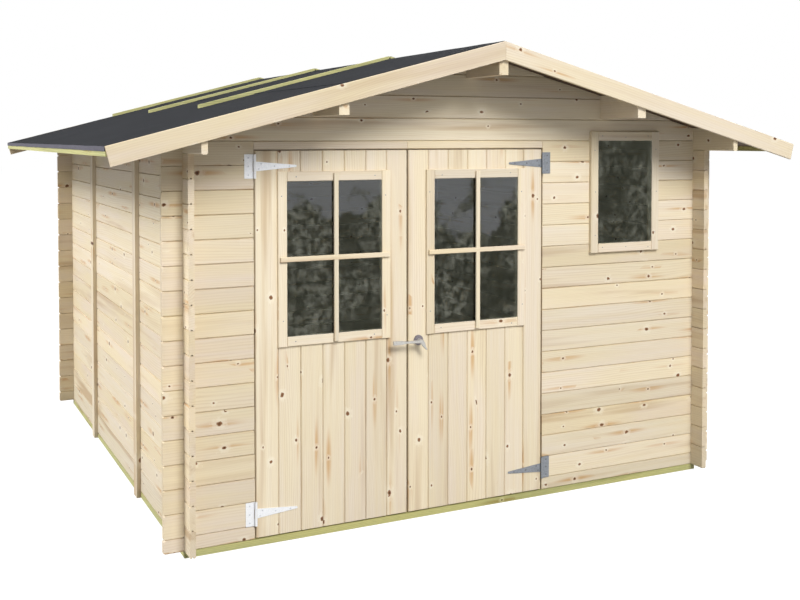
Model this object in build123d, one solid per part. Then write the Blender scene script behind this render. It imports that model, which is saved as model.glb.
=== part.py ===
from build123d import *
import math
import os

# Log walls, measured between their outer faces
wall_width = 2966.0
wall_depth = 3120.0
wall_thickness = 28.0
course_height = 112.0
front_first_course = 64.0
front_courses = 17
side_courses = 16
log_end = 96.0
groove_width = 12.0
groove_depth = 5.0

# Bearers on the ground and the floor on them
bearer_height = 30.0
bearer_width = 58.0
joist_count = 3
floor_thickness = 18.0

# Roof
roof_pitch = 14.8
plate_height = 119.0
deck_thickness = 19.0
felt_thickness = 3.0
front_overhang = 337.0
back_overhang = 289.0
eave_overhang = 378.0
eave_strip_thickness = 18.0
eave_strip_height = 45.0
felt_lip_height = 22.0
purlin_width = 50.0
ridge_purlin_height = 138.0
side_purlin_height = 118.0
side_purlin_offset = 832.0
bargeboard_height = 88.0
bargeboard_thickness = 18.0

# Battens over the felt, and upright battens on the side walls
felt_batten_width = 45.0
felt_batten_thickness = 18.0
felt_batten_length = 1174.0
felt_batten_spacing = 1197.0
felt_batten_rows = 3
felt_batten_ridge_gap = 5.0
wall_batten_width = 70.0
wall_batten_thickness = 22.0
wall_batten_spacing = 1248.0
wall_batten_head_gap = 14.0

# Double door
door_offset = -357.0
leaf_width = 785.0
leaf_thickness = 22.0
leaf_boards = 7
leaf_sill_gap = 6.0
edge_gap = 5.0
meeting_gap = 7.0
header_height = 40.0
post_size = 45.0
stop_overlap = 15.0
ledge_height = 68.0
ledge_thickness = 22.0
ledge_end_gap = 40.0
ledge_low_rise = 84.0
ledge_head_gap = 22.0
ledge_window_gap = 24.0

# Casings of the windows
door_light_margin = 101.5
door_light_shift = 6.0
door_light_height = 823.0
door_light_head_gap = 98.0
door_light_border = 47.0
door_light_proud = 12.0
window_offset = 967.0
window_width = 462.0
window_height = 657.0
window_head_gap = 89.0
window_border = 50.0
window_proud = 18.0
casing_cover = 20.0
glass_thickness = 4.0
glass_setback = 5.0

# T-hinges
hinge_plate_height = 112.0
hinge_plate_width = 48.0
hinge_metal = 3.0
hinge_end_distance = 72.0
hinge_bottom_distance = 116.0
strap_length = 207.0
strap_root_height = 46.0
strap_tip_height = 10.0
knuckle_radius = 7.0
knuckle_face_gap = 1.0
knuckle_end_gap = 0.8
pin_radius = 4.0
pin_clearance = 0.05

# Lever handle on the right leaf
handle_drop = 26.0
handle_backset = 54.0
rosette_radius = 25.0
rosette_thickness = 7.0
handle_gap = 0.3
neck_radius = 9.0
neck_reach = 48.0
lever_length = 160.0
lever_rise = 3.0
lever_height = 20.0
lever_depth = 12.0
lever_chamfer = 2.5
tail_reach = 24.0
tail_drop = 42.0
tail_curve = 1.5

# Heights of the lever's outline along its length, from the hub to the end of the grip,
# and widths of its tail from the hub to the tip
lever_half_height_shares = ((0.13, 0.36), (0.45, 0.26), (0.6, 0.32), (0.68, 0.47), (0.97, 0.5), (1.0, 0.36))
tail_half_width_shares = (0.6, 0.48, 0.36, 0.27, 0.2)

# Places that follow from the sizes above
half_width = wall_width / 2
half_depth = wall_depth / 2
half_groove = groove_width / 2
side_first_course = front_first_course + course_height / 2
front_seams = [bearer_height + front_first_course + i * course_height for i in range(front_courses)]
side_seams = [bearer_height + side_first_course + i * course_height for i in range(side_courses)]
gable_bottom = front_seams[-1]
plate_bottom = side_seams[-1]
plate_top = plate_bottom + plate_height
slope = math.tan(math.radians(roof_pitch))
slope_stretch = 1 / math.cos(math.radians(roof_pitch))
deck_rise = deck_thickness * slope_stretch
felt_rise = felt_thickness * slope_stretch
roof_front = -half_depth - front_overhang
roof_back = half_depth + back_overhang
deck_front = roof_front + bargeboard_thickness
deck_back = roof_back - bargeboard_thickness
deck_reach = half_width + eave_overhang
strip_reach = deck_reach + eave_strip_thickness
felt_reach = strip_reach + felt_thickness
front_face = -half_depth
front_inside = front_face + wall_thickness
leaf_bottom = bearer_height + leaf_sill_gap
opening_width = 2 * leaf_width + meeting_gap + 2 * edge_gap
opening_left = door_offset - opening_width / 2
opening_right = door_offset + opening_width / 2
opening_top = gable_bottom - header_height
leaf_top = opening_top - edge_gap
floor_top = bearer_height + floor_thickness
door_light_width = leaf_width - 2 * door_light_margin
light_bottom = leaf_top - door_light_head_gap - door_light_height
handle_height = light_bottom - handle_drop


def box(x, y, z):
    """A block from its two ends on each axis."""
    size = [abs(end - start) for start, end in (x, y, z)]
    middle = [(start + end) / 2 for start, end in (x, y, z)]
    return Pos(*middle) * Box(*size)


def prism(points, direction):
    """A flat outline of points in space, carried along a direction."""
    outline = make_face(Polyline(*points, close=True))
    return extrude(outline, amount=Vector(*direction).length, dir=direction)


def deck_underside(x):
    """Height of the roof boards' lower face at a distance x from the ridge."""
    return plate_top + (half_width - abs(x)) * slope


def felt_top(x):
    return deck_underside(x) + deck_rise + felt_rise


def along_roof(points):
    """An outline across the shed, carried from the front to the back edge of the roof boards."""
    return prism([(x, deck_front, z) for x, z in points], (0, deck_back - deck_front, 0))


def log_profile(bottom, top, seams):
    """Section of a log wall as (depth from the outer face, height), with a V at each seam."""
    outer = []
    if bottom not in seams:
        outer.append((0, bottom))
    for seam in [z for z in seams if bottom <= z <= top]:
        if seam > bottom:
            outer.append((0, seam - half_groove))
        outer.append((groove_depth, seam))
        if seam < top:
            outer.append((0, seam + half_groove))
    if top not in seams:
        outer.append((0, top))
    inner = [(wall_thickness - depth, z) for depth, z in reversed(outer)]
    return outer + inner


def cross_wall(left, right, bottom, top, facing):
    """A length of the front wall (facing -1) or the back wall (facing 1)."""
    section = log_profile(bottom, top, front_seams)
    points = [(left, facing * (half_depth - depth), z) for depth, z in section]
    return prism(points, (right - left, 0, 0))


def side_wall(side):
    """The left wall (side -1) or the right wall (side 1), up to its top log."""
    section = log_profile(bearer_height, plate_bottom, side_seams)
    start = -half_depth - log_end
    points = [(side * (half_width - depth), start, z) for depth, z in section]
    return prism(points, (0, wall_depth + 2 * log_end, 0))


def corner_column(side, facing, bottom, top):
    """Part of the square column where two walls cross at a corner."""
    x = (side * half_width, side * (half_width - wall_thickness))
    y = (facing * half_depth, facing * (half_depth - wall_thickness))
    return box(x, y, (bottom, top))


corners = [(side, facing) for side in (-1, 1) for facing in (-1, 1)]
tongue_height = course_height / 2
side_tongues = []
for top_seam in side_seams + [plate_bottom + course_height]:
    tongue_top = top_seam - tongue_height / 2
    side_tongues.append((tongue_top - tongue_height, tongue_top))
cross_tongues = [(bearer_height, side_tongues[0][0])]
for lower, upper in zip(side_tongues, side_tongues[1:]):
    cross_tongues.append((lower[1], upper[0]))
cross_tongues.append((side_tongues[-1][1], plate_top + half_width * slope))


def without_tongues(wall, tongues):
    """Cut the crossing wall's tongues out of a wall at the four corners."""
    return wall - [corner_column(*corner, *span) for corner in corners for span in tongues]


def casing(centre_x, bottom, width, height, border, proud, face, depth):
    """A window's casing on the wall's face with its lining through the wall, and its pane."""
    top = bottom + height
    half = width / 2
    span_x = (centre_x - half, centre_x + half)
    pane_x = (span_x[0] + border, span_x[1] - border)
    pane_z = (bottom + border, top - border)
    lining_x = (span_x[0] + casing_cover, span_x[1] - casing_cover)
    lining_z = (bottom + casing_cover, top - casing_cover)
    hole = box(lining_x, (face, face + depth), lining_z)
    board = box(span_x, (face - proud, face), (bottom, top))
    sight = box(pane_x, (face - proud, face + depth), pane_z)
    pane_front = face - proud + glass_setback
    pane = box(pane_x, (pane_front, pane_front + glass_thickness), pane_z)
    return board + hole - sight, pane, hole


# Bearers, joists and floor
inner_bearer = half_width - bearer_width
bearer_z = (0, bearer_height)
bearer_run = (-half_depth, half_depth)
side_bearers = [box((side * half_width, side * inner_bearer), bearer_run, bearer_z) for side in (-1, 1)]
joist_pitch = (wall_depth - bearer_width) / (joist_count + 1)
cross_bearers = []
for row in range(joist_count + 2):
    start = -half_depth + row * joist_pitch
    cross_bearers.append(box((-inner_bearer, inner_bearer), (start, start + bearer_width), bearer_z))
room_x = half_width - wall_thickness
room_y = half_depth - wall_thickness
floor = box((-room_x, room_x), (-room_y, room_y), (bearer_height, floor_top))

# Roof timbers
plate_inside = half_width - wall_thickness
plates = []
for side in (-1, 1):
    plate_outline = [
        (side * (half_width - groove_depth), plate_bottom),
        (side * half_width, plate_bottom + half_groove),
        (side * half_width, plate_top),
        (side * plate_inside, deck_underside(plate_inside)),
        (side * plate_inside, plate_bottom + half_groove),
        (side * (plate_inside + groove_depth), plate_bottom),
    ]
    plates.append(without_tongues(along_roof(plate_outline), cross_tongues))

half_purlin = purlin_width / 2
ridge_bottom = deck_underside(0) - ridge_purlin_height
ridge_purlin = along_roof([
    (-half_purlin, ridge_bottom),
    (half_purlin, ridge_bottom),
    (half_purlin, deck_underside(half_purlin)),
    (0, deck_underside(0)),
    (-half_purlin, deck_underside(half_purlin)),
])
purlin_bottom = deck_underside(side_purlin_offset) - side_purlin_height
side_purlins = []
for side in (-1, 1):
    inside = side_purlin_offset - half_purlin
    outside = side_purlin_offset + half_purlin
    side_purlins.append(along_roof([
        (side * inside, purlin_bottom),
        (side * outside, purlin_bottom),
        (side * outside, deck_underside(outside)),
        (side * inside, deck_underside(inside)),
    ]))

# Walls, with their corners interlocked and the door and window cut through
wall_end = half_width + log_end
under_roof = along_roof([
    (-deck_reach, bearer_height),
    (deck_reach, bearer_height),
    (deck_reach, deck_underside(deck_reach)),
    (0, deck_underside(0)),
    (-deck_reach, deck_underside(deck_reach)),
])
window_top = deck_underside(window_offset + window_width / 2) - window_head_gap
window_frame, window_glass, window_hole = casing(
    window_offset, window_top - window_height, window_width, window_height,
    window_border, window_proud, front_face, wall_thickness)


def gable(facing):
    top = deck_underside(0) + course_height
    logs = cross_wall(-wall_end, wall_end, gable_bottom, top, facing)
    return without_tongues(logs & under_roof, side_tongues) - [ridge_purlin, *side_purlins]


front_left = cross_wall(-wall_end, opening_left, bearer_height, gable_bottom, -1)
front_right = cross_wall(opening_right, wall_end, bearer_height, gable_bottom, -1)
front_right = front_right - window_hole
front_gable = gable(-1) - window_hole
header = cross_wall(opening_left, opening_right, opening_top, gable_bottom, -1)
back_wall = cross_wall(-wall_end, wall_end, bearer_height, gable_bottom, 1)

# Roof covering
decks = []
felts = []
strips = []
bargeboards = {}
felt_battens = []
for side, side_name in ((-1, "left"), (1, "right")):
    deck_end = side * deck_reach
    strip_end = side * strip_reach
    felt_end = side * felt_reach
    deck_top = deck_underside(0) + deck_rise
    decks.append(along_roof([
        (0, deck_underside(0)),
        (deck_end, deck_underside(deck_end)),
        (deck_end, deck_underside(deck_end) + deck_rise),
        (0, deck_top),
    ]))
    strip_foot = deck_underside(deck_end) + deck_rise - eave_strip_height
    strips.append(along_roof([
        (deck_end, strip_foot),
        (strip_end, strip_foot),
        (strip_end, deck_underside(strip_end) + deck_rise),
        (deck_end, deck_underside(deck_end) + deck_rise),
    ]))
    felts.append(along_roof([
        (0, deck_top),
        (strip_end, deck_underside(strip_end) + deck_rise),
        (strip_end, felt_top(felt_end) - felt_lip_height),
        (felt_end, felt_top(felt_end) - felt_lip_height),
        (felt_end, felt_top(felt_end)),
        (0, felt_top(0)),
    ]))

    # A bargeboard is cut plumb at the ridge and square at its foot
    drop = bargeboard_height * slope_stretch
    foot_in = bargeboard_height * math.sin(math.radians(roof_pitch))
    foot_down = bargeboard_height * math.cos(math.radians(roof_pitch))
    board_outline = [
        (0, felt_top(0)),
        (felt_end, felt_top(felt_end)),
        (felt_end - side * foot_in, felt_top(felt_end) - foot_down),
        (0, felt_top(0) - drop),
    ]
    for end_name, start in (("front", roof_front), ("back", deck_back)):
        points = [(x, start, z) for x, z in board_outline]
        bargeboards[f"{end_name}_bargeboard_{side_name}"] = prism(points, (0, bargeboard_thickness, 0))

    # Battens nailed down the slope over the felt, the last one along the back edge
    batten_top = side * felt_batten_ridge_gap
    batten_foot = batten_top + side * felt_batten_length / slope_stretch
    batten_rise = felt_batten_thickness * slope_stretch
    for row in range(felt_batten_rows):
        start = deck_back - felt_batten_width - row * felt_batten_spacing
        corners_xz = [
            (batten_top, felt_top(batten_top)),
            (batten_foot, felt_top(batten_foot)),
            (batten_foot, felt_top(batten_foot) + batten_rise),
            (batten_top, felt_top(batten_top) + batten_rise),
        ]
        points = [(x, start, z) for x, z in corners_xz]
        felt_battens.append(prism(points, (0, felt_batten_width, 0)))

# Upright battens that stiffen the side walls
wall_battens = []
batten_reach = half_width + wall_batten_thickness
batten_head = deck_underside(batten_reach) - wall_batten_head_gap
for side in (-1, 1):
    for place in (-1, 1):
        middle = place * wall_batten_spacing / 2
        span = (middle - wall_batten_width / 2, middle + wall_batten_width / 2)
        wall_battens.append(box((side * half_width, side * batten_reach), span, (0, batten_head)))

# Posts and head inside the doorway, which the leaves close against
stop_y = (front_inside, front_inside + post_size)
stop_bottom = opening_top - stop_overlap
door_posts = []
for edge, side in ((opening_left, 1), (opening_right, -1)):
    post_x = (edge + side * stop_overlap, edge + side * (stop_overlap - post_size))
    door_posts.append(box(post_x, stop_y, (floor_top, stop_bottom)))
head_x = (opening_left + stop_overlap - post_size, opening_right - stop_overlap + post_size)
door_head = box(head_x, stop_y, (stop_bottom, stop_bottom + post_size))

# T-hinges: a plate on the wall and a strap on the leaf, on one pin
pin_y = front_face - knuckle_radius - knuckle_face_gap
half_knuckle = strap_root_height / 2
half_plate = hinge_plate_height / 2


def upright_round(radius, x, bottom, top):
    return Pos(x, pin_y, (bottom + top) / 2) * Cylinder(radius, top - bottom)


def hinge_plate(pin_x, side, height):
    """Wall half of a hinge, with the pin, where the leaf lies to the given side of the pin."""
    face_y = (front_face - hinge_metal, front_face)
    plate_x = (pin_x - side * hinge_plate_width, pin_x)
    plate = box(plate_x, face_y, (height - half_plate, height + half_plate))
    notch_half = half_knuckle + knuckle_end_gap
    notch_x = (pin_x - side * (knuckle_radius + knuckle_face_gap), pin_x)
    notch = box(notch_x, face_y, (height - notch_half, height + notch_half))
    upper = upright_round(knuckle_radius, pin_x, height + notch_half, height + half_plate)
    lower = upright_round(knuckle_radius, pin_x, height - half_plate, height - notch_half)
    pin = upright_round(pin_radius, pin_x, height - half_plate, height + half_plate)
    return plate - notch + upper + lower + pin


def hinge_strap(pin_x, side, height):
    """Leaf half of a hinge, a strap that tapers from the knuckle to a round tip."""
    half_tip = strap_tip_height / 2
    tip_x = pin_x + side * (strap_length - half_tip)
    outline = [
        (pin_x, front_face, height - half_knuckle),
        (tip_x, front_face, height - half_tip),
        (tip_x, front_face, height + half_tip),
        (pin_x, front_face, height + half_knuckle),
    ]
    blade = prism(outline, (0, -hinge_metal, 0))
    middle_y = front_face - hinge_metal / 2
    tip = Pos(tip_x, middle_y, height) * Rot(X=90) * Cylinder(half_tip, hinge_metal)
    knuckle = upright_round(knuckle_radius, pin_x, height - half_knuckle, height + half_knuckle)
    bore = upright_round(pin_radius + pin_clearance, pin_x, height - half_knuckle, height + half_knuckle)
    return blade + tip + knuckle - bore


hinge_heights = (leaf_bottom + hinge_bottom_distance, leaf_top - hinge_end_distance)

# Door leaves
board_width = leaf_width / leaf_boards


def leaf_panel(left):
    """Upright boards side by side, with a V at each seam on the outside."""
    outline = [(left, front_face)]
    for seam in range(1, leaf_boards):
        x = left + seam * board_width
        outline += [
            (x - half_groove, front_face),
            (x, front_face + groove_depth),
            (x + half_groove, front_face),
        ]
    right = left + leaf_width
    back = front_face + leaf_thickness
    outline += [(right, front_face), (right, back), (left, back)]
    return prism([(x, y, leaf_bottom) for x, y in outline], (0, 0, leaf_top - leaf_bottom))


def leaf_ledges(left):
    """Rails across the back of a leaf: low, under the window and at its head."""
    span_x = (left + ledge_end_gap, left + leaf_width - ledge_end_gap)
    back = front_face + leaf_thickness
    head_bottom = leaf_top - ledge_head_gap - ledge_height
    below_light = light_bottom - ledge_window_gap - ledge_height
    bottoms = (leaf_bottom + ledge_low_rise, below_light, head_bottom)
    return [box(span_x, (back, back + ledge_thickness), (z, z + ledge_height)) for z in bottoms]


leaves = {}
for side_name, left, pin_x, side in (
    ("left", opening_left + edge_gap, opening_left + edge_gap / 2, 1),
    ("right", opening_right - edge_gap - leaf_width, opening_right - edge_gap / 2, -1),
):
    light_frame, light_glass, light_hole = casing(
        left + leaf_width / 2 + side * door_light_shift, light_bottom, door_light_width, door_light_height,
        door_light_border, door_light_proud, front_face, leaf_thickness)
    leaves[f"{side_name}_door_panel"] = leaf_panel(left) - light_hole
    leaves[f"{side_name}_door_window_frame"] = light_frame
    leaves[f"{side_name}_door_glass"] = light_glass
    leaves[f"{side_name}_door_ledges"] = leaf_ledges(left)
    leaves[f"{side_name}_hinge_plates"] = [hinge_plate(pin_x, side, z) for z in hinge_heights]
    leaves[f"{side_name}_hinge_straps"] = [hinge_strap(pin_x, side, z) for z in hinge_heights]

# Lever handle
handle_x = door_offset + meeting_gap / 2 + handle_backset
rosette_front = front_face - rosette_thickness
rosette_middle = front_face - rosette_thickness / 2
rosette = Pos(handle_x, rosette_middle, handle_height) * Rot(X=90) * Cylinder(rosette_radius, rosette_thickness)
neck_start = rosette_front - handle_gap
neck_end = front_face - neck_reach
neck_middle = (neck_start + neck_end) / 2
neck = Pos(handle_x, neck_middle, handle_height) * Rot(X=90) * Cylinder(neck_radius, neck_start - neck_end)


def lever_outline():
    """The lever from the front: over the grip to the hub, round the tail and back under the grip."""
    upper = []
    lower = []
    for along_share, half_share in reversed(lever_half_height_shares):
        x = handle_x - lever_length * along_share
        middle = handle_height + lever_rise * along_share
        upper.append((x, middle + lever_height * half_share))
        lower.append((x, middle - lever_height * half_share))
    tail_right = []
    tail_left = []
    for step, half_share in enumerate(tail_half_width_shares, start=1):
        share = step / len(tail_half_width_shares)
        x = handle_x + tail_reach * share ** tail_curve
        z = handle_height - tail_drop * share
        tail_right.append((x + lever_height * half_share, z))
        tail_left.append((x - lever_height * half_share, z))
    hub_top = (handle_x, handle_height + neck_radius)
    hub_right = (handle_x + neck_radius, handle_height)
    return upper + [hub_top, hub_right] + tail_right + tail_left[::-1] + lower[::-1]


lever_back = neck_end + lever_depth / 2
lever = prism([(x, lever_back, z) for x, z in lever_outline()], (0, -lever_depth, 0))
lever = chamfer(lever.faces().sort_by(Axis.Y)[0].edges(), lever_chamfer)
handle = neck + lever

pieces = {
    "side_bearers": side_bearers,
    "cross_bearers": cross_bearers,
    "floor": floor,
    "front_wall_left": without_tongues(front_left, side_tongues),
    "front_wall_right": without_tongues(front_right, side_tongues),
    "front_gable": front_gable,
    "door_header": header,
    "back_wall": without_tongues(back_wall, side_tongues),
    "back_gable": gable(1),
    "left_wall": without_tongues(side_wall(-1), cross_tongues),
    "right_wall": without_tongues(side_wall(1), cross_tongues),
    "wall_plates": plates,
    "ridge_purlin": ridge_purlin,
    "side_purlins": side_purlins,
    "roof_deck_left": decks[0],
    "roof_deck_right": decks[1],
    "roof_felt_left": felts[0],
    "roof_felt_right": felts[1],
    "eave_strips": strips,
    **bargeboards,
    "felt_battens": felt_battens,
    "wall_battens": wall_battens,
    "window_frame": window_frame,
    "window_glass": window_glass,
    "door_posts": door_posts,
    "door_head": door_head,
    **leaves,
    "handle_rosette": rosette,
    "door_handle": handle,
}

os.makedirs("parts", exist_ok=True)
for name, piece in pieces.items():
    solids = piece if isinstance(piece, list) else [piece]
    export_step(Compound(children=[s for solid in solids for s in solid.solids()]), f"parts/{name}.step")
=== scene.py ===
import math
import random

import bmesh
import bpy
from mathutils import Matrix, Vector


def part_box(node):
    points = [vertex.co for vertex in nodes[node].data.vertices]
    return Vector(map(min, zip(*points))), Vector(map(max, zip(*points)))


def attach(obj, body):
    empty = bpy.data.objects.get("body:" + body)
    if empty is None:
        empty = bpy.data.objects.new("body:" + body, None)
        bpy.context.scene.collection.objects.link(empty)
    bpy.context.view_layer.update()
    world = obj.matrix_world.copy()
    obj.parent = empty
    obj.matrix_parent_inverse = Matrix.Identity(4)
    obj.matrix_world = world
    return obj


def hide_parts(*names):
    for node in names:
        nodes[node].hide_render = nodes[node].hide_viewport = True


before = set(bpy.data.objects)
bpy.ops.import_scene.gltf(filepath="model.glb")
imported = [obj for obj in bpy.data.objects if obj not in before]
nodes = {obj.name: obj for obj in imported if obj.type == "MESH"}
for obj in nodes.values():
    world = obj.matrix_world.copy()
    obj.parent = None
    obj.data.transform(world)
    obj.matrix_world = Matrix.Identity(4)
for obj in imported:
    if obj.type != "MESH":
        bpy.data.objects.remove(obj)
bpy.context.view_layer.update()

# Log boards, in metres
COURSE = 0.112
FRONT_FIRST = 0.064
SIDE_FIRST = 0.120
WALL_THICKNESS = 0.028
GROOVE_HALF = 0.0042
GROOVE_DEPTH = 0.0045
LOG_FOOT_CUT = 0.0052
LOG_HEAD_CUT = 0.0018
SLOT_HEIGHT = 0.0066
TONGUE = 0.008
CORNER_CUT = 0.009
NARROW_STRIP = 0.012

# Seams between boards, half of the gap on each board: narrow at mid depth, wider at the groove
SEAM_GAP = 0.00006
SEAM_SLIT = 0.0007

# Ends of boards, and how far boards differ in length and depth
END_BEVEL = 0.0015
END_CUT = 0.0055
END_PLAY = 0.002
DEPTH_PLAY = 0.0008

# Edges that cross a board by less slant than this show end grain, between these rings
END_SLANT = 0.5
END_RINGS = (1, 2)

# Room in the grain that each board or CAD node is cut from
GRAIN_SPREAD = 50
GRAIN_DEPTH = 5
NODE_SPREAD = 9.0

ROOF_PITCH = math.radians(14.8)
SLOPE = math.tan(ROOF_PITCH)

draw = random.Random(11)


def srgb(red, green, blue):
    """A colour written as 0 to 255 values, in the linear values that shaders take."""
    shares = [value / 255 for value in (red, green, blue)]
    return [s / 12.92 if s <= 0.04045 else ((s + 0.055) / 1.055) ** 2.4 for s in shares] + [1.0]


class Graph:
    """Short names for the nodes of one material, or of the world."""

    def __init__(self, name, world=False):
        self.owner = (bpy.data.worlds if world else bpy.data.materials).new(name)
        self.owner.use_nodes = True
        self.tree = self.owner.node_tree
        self.tree.nodes.clear()
        self.output = self.tree.nodes.new("ShaderNodeOutputWorld" if world else "ShaderNodeOutputMaterial")

    def node(self, kind, inputs=None, **settings):
        made = self.tree.nodes.new("ShaderNode" + kind)
        for key, value in settings.items():
            setattr(made, key, value)
        for key, value in (inputs or {}).items():
            self.feed(made.inputs[key], value)
        return made

    def feed(self, socket, value):
        if isinstance(value, bpy.types.NodeSocket):
            self.tree.links.new(value, socket)
        elif isinstance(value, bpy.types.Node):
            self.tree.links.new(value.outputs[0], socket)
        else:
            socket.default_value = value

    def math(self, operation, first, second=0.0, third=0.0):
        return self.node("Math", {0: first, 1: second, 2: third}, operation=operation).outputs[0]

    def vector(self, operation, first, second=(0, 0, 0)):
        made = self.node("VectorMath", {0: first, 1: second}, operation=operation)
        return made.outputs["Value" if operation == "LENGTH" else "Vector"]

    def noise(self, vector, scale=1.0, detail=2.0, roughness=0.5):
        inputs = {"Vector": vector, "Scale": scale, "Detail": detail, "Roughness": roughness}
        return self.node("TexNoise", inputs).outputs["Fac"]

    def streaks(self, grain, along, across, detail=2.0, roughness=0.5):
        """Noise drawn out along the grain, finer across it than along it."""
        return self.noise(self.vector("MULTIPLY", grain, (along, across, across)), 1.0, detail, roughness)

    def mix(self, share, first, second, blend="MIX"):
        made = self.node("Mix", data_type="RGBA", blend_type=blend)
        self.feed(made.inputs["Factor"], share)
        self.feed(made.inputs["A"], first)
        self.feed(made.inputs["B"], second)
        return made.outputs["Result"]

    def smooth(self, value, start, end, low=0.0, high=1.0):
        inputs = {"Value": value, "From Min": start, "From Max": end, "To Min": low, "To Max": high}
        return self.node("MapRange", inputs, interpolation_type="SMOOTHSTEP").outputs["Result"]

    def parts(self, vector):
        return self.node("SeparateXYZ", {"Vector": vector}).outputs

    def join(self, x, y, z):
        return self.node("CombineXYZ", {"X": x, "Y": y, "Z": z}).outputs[0]

    def place(self):
        return self.node("TexCoord").outputs["Object"]

    def finish(self, shader):
        self.tree.links.new(shader.outputs[0], self.output.inputs["Surface"])
        return self.owner


def board_grain(graph):
    """Grain coordinates and board randoms that the board meshes carry."""
    grain = graph.node("Attribute", attribute_name="grain").outputs["Vector"]
    tone = graph.node("Attribute", attribute_name="tone").outputs["Vector"]
    return grain, tone


def axis_grain(axis):
    """Grain coordinates along one axis of a CAD node, with randoms for the whole node."""

    def make(graph):
        x, y, z = graph.parts(graph.place())
        along, across, depth = {"X": (x, z, y), "Y": (y, z, x), "Z": (z, x, y)}[axis]
        luck = graph.node("ObjectInfo").outputs["Random"]
        shift = graph.math("MULTIPLY", luck, NODE_SPREAD)
        grain = graph.join(graph.math("ADD", along, shift), graph.math("ADD", across, shift), depth)
        tone = graph.node("TexWhiteNoise", {"W": luck}, noise_dimensions="1D").outputs["Color"]
        return grain, tone

    return make


# Knots: cells of the grain that hold one each at most, the share that do, radii and the core's colour
KNOT_CELL = (0.34, 0.085, 0.4)
KNOT_SHARE = 0.55
KNOT_LEAST = 0.004
KNOT_SPREAD = 0.0068
KNOT_CORE = (74, 48, 30)

# Shape of the knots: the weight of the way along the grain, and a wobble of the outline
KNOT_ALONG = 0.75
WOBBLE_SCALE = 85.0
WOBBLE_LEAST = 0.3
WOBBLE_SPREAD = 1.4

# Growth rings: the pith's spread across the boards, its depth behind them and its sway along them,
# the rings' ripple, how far knots push them out, and radians of ring to the metre
PITH_SPREAD = 0.16
PITH_DEPTH = 0.02
PITH_DEPTH_SPREAD = 0.09
PITH_SWAY = 0.09
SWAY_SCALE = 0.9
RING_RIPPLE = 0.024
RING_SWIRL = 0.006
RING_RATE = 420.0
RING_RATE_SPREAD = 500.0

# How strongly each feature of the wood shows, as a share of the tone that it is mixed with
PALE_LEAST = 0.1
PALE_SPREAD = 0.6
STREAK_SHARE = 0.5
STAIN_SHARE = 0.8
LATEWOOD_SHARE = 0.24
FIBRE_SHARE = 0.2
RESIN_SHARE = 0.7
HALO_SHARE = 0.5
CORE_LEAST = 0.35
CORE_SPREAD = 0.6
END_SHARE = 0.18

# Resin: the weight of the way along the grain, its reach from the knot, and the knots that have it
RESIN_ALONG = 0.11
RESIN_REACH = (0.019, 0.004)
RESIN_FROM = 0.38

# How boards differ in brightness
LEVEL_LEAST = 0.87
LEVEL_SPREAD = 0.17


def knot_field(g, grain, amount):
    """The way from the nearest knot along and across the grain, its darkness, whether it is there, and
    the distance from it in radii."""
    scaled = g.vector("DIVIDE", grain, KNOT_CELL)
    cells = g.node("TexVoronoi", {"Vector": scaled, "Scale": 1.0}, feature="F1")
    reach = g.vector("MULTIPLY", g.vector("SUBTRACT", scaled, cells.outputs["Position"]), KNOT_CELL)
    along, across = g.parts(reach)[:2]
    distance = g.vector("LENGTH", g.join(g.math("MULTIPLY", along, KNOT_ALONG), across, 0.0))
    wobble = g.math("MULTIPLY_ADD", g.noise(grain, WOBBLE_SCALE), WOBBLE_SPREAD, WOBBLE_LEAST)
    distance = g.math("MULTIPLY", distance, wobble)
    luck, size, darkness = g.parts(cells.outputs["Color"])
    present = g.math("GREATER_THAN", luck, 1.0 - KNOT_SHARE * amount)
    radius = g.math("MULTIPLY_ADD", g.math("POWER", size, 3.0), KNOT_SPREAD, KNOT_LEAST)
    return along, across, darkness, present, g.math("DIVIDE", distance, radius)


def latewood(g, grain, lucks, swirl):
    """Dark lines of growth rings round a pith that lies behind the board and wanders along it."""
    luck_a, luck_b, luck_c = lucks
    along, across, depth = g.parts(grain)
    wander = g.noise(g.join(g.math("MULTIPLY", along, SWAY_SCALE), luck_a, 0.0), 1.0, 1.0)
    sway = g.math("MULTIPLY_ADD", wander, PITH_SWAY, -PITH_SWAY / 2)
    pith = g.math("MULTIPLY_ADD", luck_b, PITH_SPREAD, -PITH_SPREAD / 2)
    ring_v = g.math("ADD", g.math("SUBTRACT", across, pith), sway)
    ring_w = g.math("ADD", depth, g.math("MULTIPLY_ADD", luck_c, PITH_DEPTH_SPREAD, PITH_DEPTH))
    ripple = g.streaks(grain, along=1.6, across=22.0, detail=4.0)
    radius = g.vector("LENGTH", g.join(ring_v, ring_w, 0.0))
    radius = g.math("ADD", radius, g.math("MULTIPLY", ripple, RING_RIPPLE))
    radius = g.math("ADD", radius, g.math("MULTIPLY", swirl, RING_SWIRL))
    phase = g.math("MULTIPLY", radius, g.math("MULTIPLY_ADD", luck_c, RING_RATE_SPREAD, RING_RATE))
    late = g.math("POWER", g.math("MULTIPLY_ADD", g.math("SINE", phase), 0.5, 0.5), 3.0)
    patch = g.streaks(grain, along=1.1, across=9.0)
    return g.math("MULTIPLY", late, g.smooth(patch, 0.32, 0.68, 0.35, 1.0))


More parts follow.
